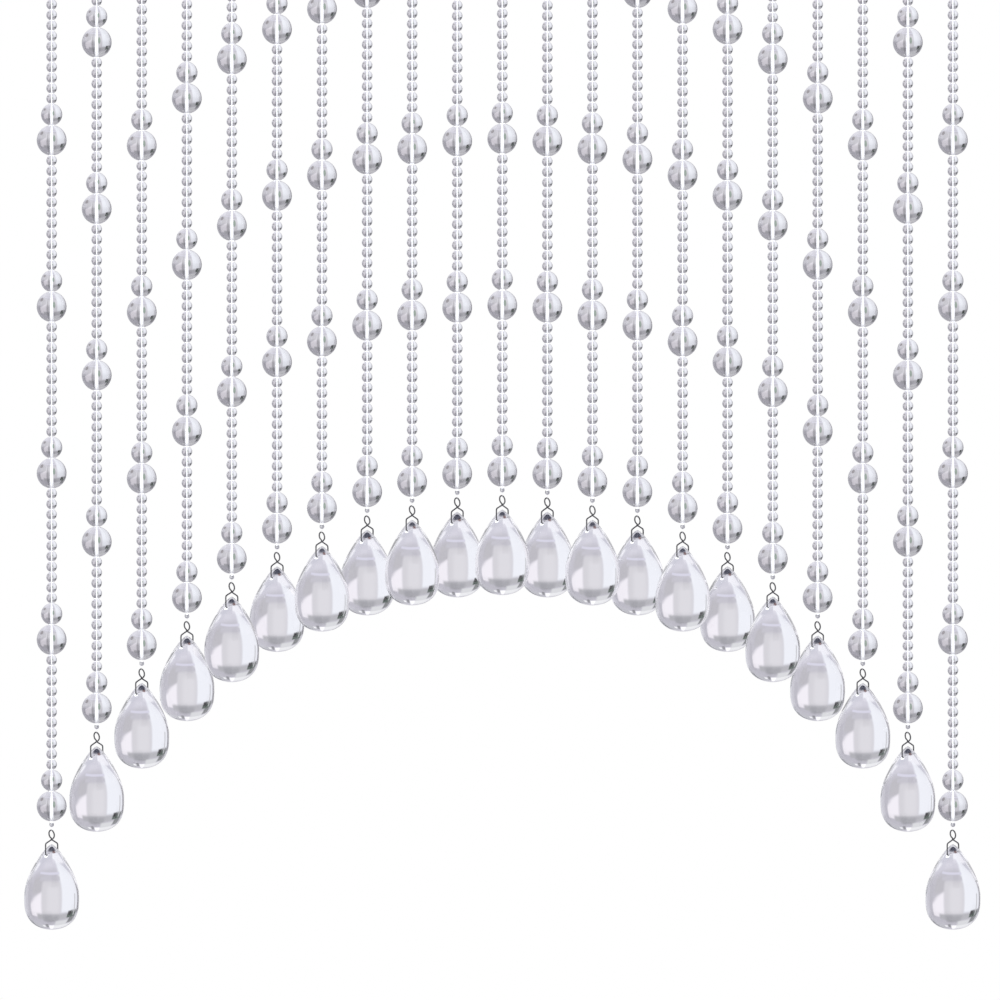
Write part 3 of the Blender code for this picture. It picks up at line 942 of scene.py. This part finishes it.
# %% Surroundings
Panel = namedtuple("Panel", "name left right low high blur colour slope bow", defaults=(0.0, 0.0))
PANELS = (
    Panel("floor light", -180, 180, -90, -31, 10, (0.60, 0.59, 0.67)),
    Panel("left light panel", -60, -14, -62, 13, 8, (0.86, 0.88, 0.94)),
    Panel("shade beside the middle", 13, 33, -24, -4, 7, (0.46, 0.45, 0.49)),
    Panel("grey middle", -15, 14, -17.5, 16, 6, (0.62, 0.61, 0.65)),
    Panel("bright heart of the middle", -14, 6, -12, 12, 9, (0.69, 0.68, 0.72)),
    Panel("shade under the middle", -15, 20, -23, -18.5, 3, (0.51, 0.50, 0.56)),
    Panel("pale table edge", -16, 24, -26.6, -23.8, 2.0, (0.65, 0.64, 0.76), 0.0, 0.0075),
    Panel("right light panel", 14, 38, -6, 20, 5, (0.87, 0.84, 0.90), 0.36),
    Panel("dark arch", -38, 24, 14.5, 25, 6, (0.43, 0.43, 0.46)),
    Panel("deep arch", -13, 13, 17, 30, 8, (0.34, 0.34, 0.37)),
    Panel("pale strip left", -36, -8, 28, 43, 6, (0.68, 0.69, 0.71)),
    Panel("pale ceiling left", -66, -6, 42, 64, 5, (0.86, 0.87, 0.88)),
    Panel("grey ceiling", 16, 90, 42, 90, 6, (0.48, 0.48, 0.52)),
    Panel("high light", -7, 5, 41, 70, 4, (1.1, 1.1, 1.12)),
    Panel("dark gap", 6, 12, 37, 52, 2.5, (0.25, 0.25, 0.27)),
    Panel("small high light", 14, 21, 42, 50, 4, (0.95, 0.95, 0.97)),
    Panel("dark flag left", -62, -37, 11, 38, 5, (0.12, 0.13, 0.13)),
    Panel("black stand", -58, -29, 15, 23, 3, (0.02, 0.05, 0.03)),
    Panel("knob of the stand", -39, -30, 11, 18, 3, (0.0, 0.0, 0.0)),
    Panel("thin upright left", -50, -46, -6, 20, 2.5, (0.50, 0.50, 0.52)),
    Panel("dark flag right", 56, 90, 38, 70, 8, (0.10, 0.10, 0.12)),
    Panel("dark upright left", -86, -64, -36, 19, 4, (0.03, 0.03, 0.03)),
    Panel("dark upright right", 67, 88, -30, -4, 4, (0.06, 0.06, 0.08)),
)
WALL_COLOUR = (0.50, 0.49, 0.55)
FRONT_COLOUR = (0.80, 0.80, 0.83)
FRONT_LOW_COLOUR = (0.54, 0.54, 0.62)
FRONT_UNDER_COLOUR = (0.005, 0.008, 0.035)
FRONT_PANELS = (
    Panel("beside, right", 96, 152, -32, 30, 14, (0.46, 0.46, 0.52)),
    Panel("beside, left", -152, -96, -32, 30, 14, (0.98, 0.98, 1.0)),
    Panel("front left, low", -178, -150, -75, -58, 5, (0.84, 0.84, 0.90)),
    Panel("front right, low", 166, 183, -58, -46, 5, (0.84, 0.84, 0.90)),
    Panel("front right, high", 150, 180, 23, 46, 5, (0.04, 0.04, 0.05)),
)
FRONT_FROM, FRONT_TO = -0.1, -0.45
FRONT_LOW_FROM, FRONT_LOW_TO = -35, -50
UNDER_FROM, UNDER_TO = -73, -79
CAMERA_SEES = (1.0, 1.0, 1.0)

world = bpy.data.worlds.new("studio")
bpy.context.scene.world = world
world.use_nodes = True
sky = world.node_tree
ray = add_node(sky, "ShaderNodeTexCoord").outputs["Generated"]
direction = add_node(sky, "ShaderNodeSeparateXYZ", [("Vector", ray)])
turn = maths(sky, "ARCTAN2", direction.outputs["X"], direction.outputs["Y"])
azimuth = maths(sky, "DEGREES", turn)
elevation = maths(sky, "DEGREES", maths(sky, "ARCSINE", direction.outputs["Z"]))


def rise(value, start, end):
    """0 before start and 1 after end, smooth between them."""
    ends = [("Value", value), ("From Min", start), ("From Max", end)]
    return add_node(sky, "ShaderNodeMapRange", ends, interpolation_type="SMOOTHSTEP").outputs["Result"]


def times(a, b):
    """Both masks at once."""
    return maths(sky, "MULTIPLY", a, b)


def over(under, colour, mask):
    """The colour laid over what is under it, as far as the mask says."""
    return tinted(sky, under, colour, mask)


def window(panel):
    """1 inside the panel's four edges and 0 outside, over a blur as wide as the panel says.

    A slope raises the lower edge from the panel's left to its right, and a bow bends the panel down at
    both ends.
    """
    half = panel.blur / 2
    top_height = elevation
    if panel.bow:
        top_height = maths(sky, "MULTIPLY_ADD", times(azimuth, azimuth), panel.bow, elevation)
    height = top_height
    if panel.slope:
        beyond_left = maths(sky, "ADD", azimuth, -panel.left)
        height = maths(sky, "MULTIPLY_ADD", beyond_left, -panel.slope, elevation)
    left = rise(azimuth, panel.left - half, panel.left + half)
    right = rise(azimuth, panel.right + half, panel.right - half)
    low = rise(height, panel.low - half, panel.low + half)
    high = rise(top_height, panel.high + half, panel.high - half)
    return times(times(left, right), times(low, high))


wall = add_node(sky, "ShaderNodeRGB")
wall.outputs[0].default_value = (*WALL_COLOUR, 1.0)
seen_through_glass = wall.outputs[0]
for panel in PANELS:
    seen_through_glass = over(seen_through_glass, panel.colour, window(panel))
in_front = rise(direction.outputs["Y"], FRONT_FROM, FRONT_TO)
seen_through_glass = over(seen_through_glass, FRONT_COLOUR, in_front)
front_low = times(in_front, rise(elevation, FRONT_LOW_FROM, FRONT_LOW_TO))
seen_through_glass = over(seen_through_glass, FRONT_LOW_COLOUR, front_low)
for panel in FRONT_PANELS:
    seen_through_glass = over(seen_through_glass, panel.colour, window(panel))
under = rise(elevation, UNDER_FROM, UNDER_TO)
seen_through_glass = over(seen_through_glass, FRONT_UNDER_COLOUR, under)
straight_to_camera = add_node(sky, "ShaderNodeLightPath").outputs["Is Camera Ray"]
surroundings = over(seen_through_glass, CAMERA_SEES, straight_to_camera)
sky.links.new(surroundings, sky.nodes["Background"].inputs["Color"])
print("panels around the set:", len(PANELS) + len(FRONT_PANELS))

# %% [markdown]
# ## Fill lights and floor
#
# The tape and the threads are matt, and grey panels alone would leave a white tape grey. Three soft suns
# light them. They are hidden from glass and from reflections, so they leave no spots there. The floor
# lies well under the drops, out of the front view. Views from above show it.

# %% Fill lights
FILL_LIGHTS = (
    ("fill_front", (-0.5, -1.0, 0.7), 1.0),
    ("fill_back", (0.5, 1.0, 0.7), 1.0),
    ("fill_above", (0.0, 0.0, 1.0), 1.3),
)
FILL_SOFTNESS = 1.0

for name, towards, strength in FILL_LIGHTS:
    lamp = bpy.data.lights.new(name, "SUN")
    lamp.energy = strength
    lamp.angle = FILL_SOFTNESS
    light = bpy.data.objects.new(name, lamp)
    light.matrix_world = Vector(towards).to_track_quat("Z", "Y").to_matrix().to_4x4()
    light.visible_glossy = False
    light.visible_transmission = False
    bpy.context.scene.collection.objects.link(light)
print("fill lights:", len(FILL_LIGHTS))

# %% Floor and view
FLOOR_BELOW_DROPS = 165.0 * MM
FLOOR_RADIUS = 1.1
floor_height = cad_box[0][2] - FLOOR_BELOW_DROPS


def floor_mesh():
    """A flat disc: rings of points at growing radius, closed in the middle."""
    angle = np.linspace(0, 2 * np.pi, 96, endpoint=False)
    radius = FLOOR_RADIUS * np.linspace(0.1, 1, 10)[:, None]
    points = np.stack([radius * np.cos(angle), radius * np.sin(angle), floor_height + 0 * radius * angle], -1)
    material, tree, shader = material_with("pale_floor", Roughness=0.85)
    place = add_node(tree, "ShaderNodeTexCoord").outputs["Object"]
    cloud = add_node(tree, "ShaderNodeTexNoise", [("Vector", place), ("Scale", 3.0), ("Detail", 3.0)])
    tint = add_node(tree, "ShaderNodeValToRGB", [("Fac", cloud.outputs["Fac"])])
    tint.color_ramp.elements[0].color = (0.86, 0.86, 0.86, 1.0)
    tint.color_ramp.elements[1].color = (0.92, 0.92, 0.92, 1.0)
    tree.links.new(tint.outputs["Color"], shader.inputs["Base Color"])
    skin = grid_skin(points, False, True, 0, (0.0, 0.0, floor_height))
    return new_mesh("floor", skin, (material,))


floor = bpy.data.objects.new("floor", floor_mesh())
bpy.context.scene.collection.objects.link(floor)
floor.visible_transmission = False
floor.visible_glossy = False
bpy.context.scene.view_settings.view_transform = "Standard"
print("floor at z in mm:", round(floor_height / MM))
